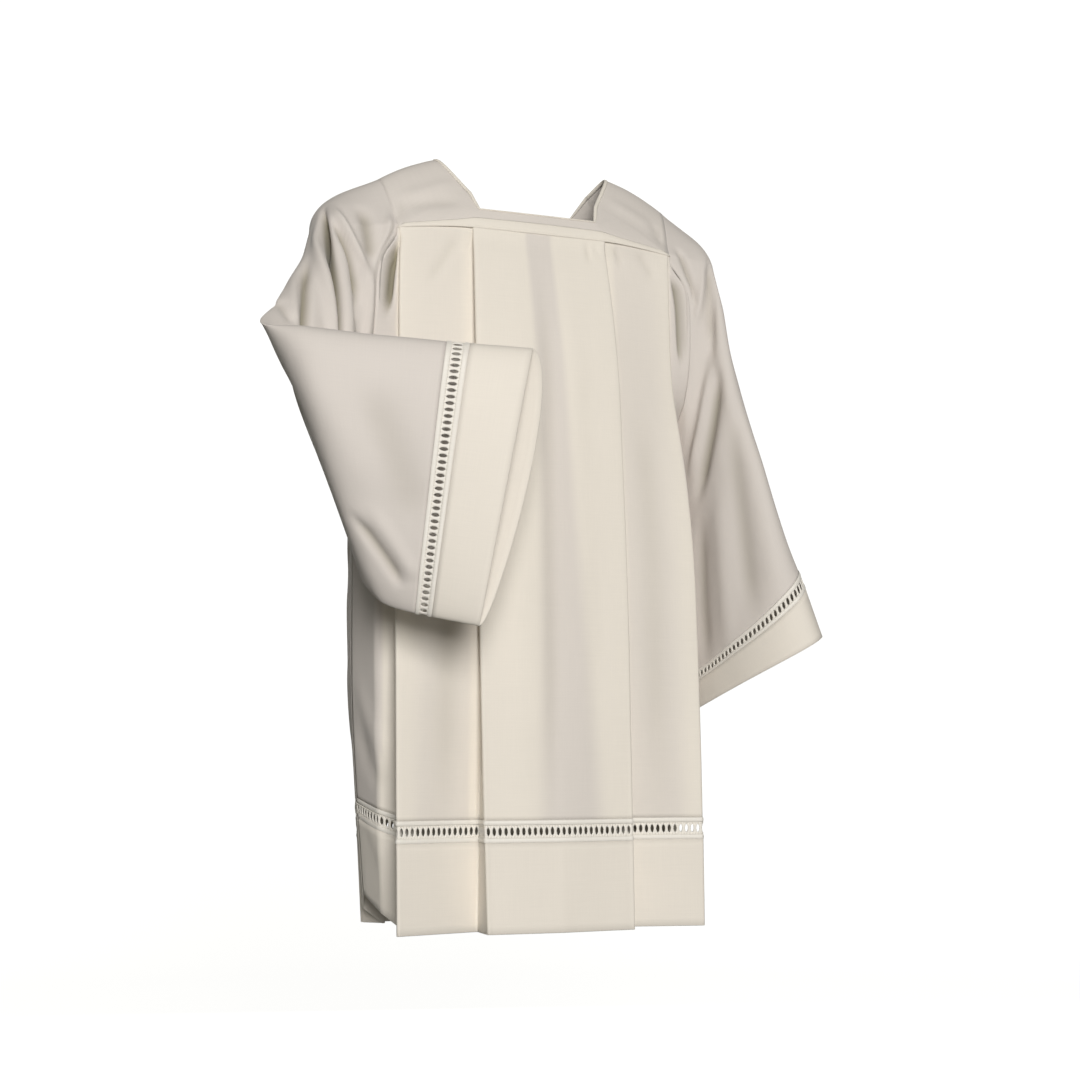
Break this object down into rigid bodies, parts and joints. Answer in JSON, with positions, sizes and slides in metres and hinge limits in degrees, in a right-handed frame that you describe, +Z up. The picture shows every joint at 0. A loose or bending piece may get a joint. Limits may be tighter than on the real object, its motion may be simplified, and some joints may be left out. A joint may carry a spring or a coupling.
{
  "type": "surplice",
  "caption": "Box-pleated surplice worn with one arm bent: square-necked yoke, pleated body, wide sleeves, openwork bands and plain deep hems.",
  "frame": {"origin": "middle of the shoulder line at the neck opening, where the yoke rests on its wearer", "axes": "+Z up; the wearer faces -Y and +X is the wearer's left, so the bent right sleeve is at -X"},
  "size_m": [0.709, 0.3961, 0.8924],
  "materials": {
    "cream_cloth": "matt fine plain weave, ivory",
    "satin_openwork": "satin-bordered openwork insertion, ivory"
  },
  "bodies": {
    "root": {"yoke": "cream_cloth", "neck_binding": "cream_cloth", "front_piping": "cream_cloth", "back_piping": "cream_cloth", "front": "cream_cloth", "openwork_front": "satin_openwork", "hem_front": "cream_cloth", "back": "cream_cloth", "openwork_back": "satin_openwork", "hem_back": "cream_cloth", "right_sleeve": "cream_cloth", "openwork_right_sleeve": "satin_openwork", "hem_right_sleeve": "cream_cloth", "left_sleeve": "cream_cloth", "openwork_left_sleeve": "satin_openwork", "hem_left_sleeve": "cream_cloth"}
  },
  "joints": []
}
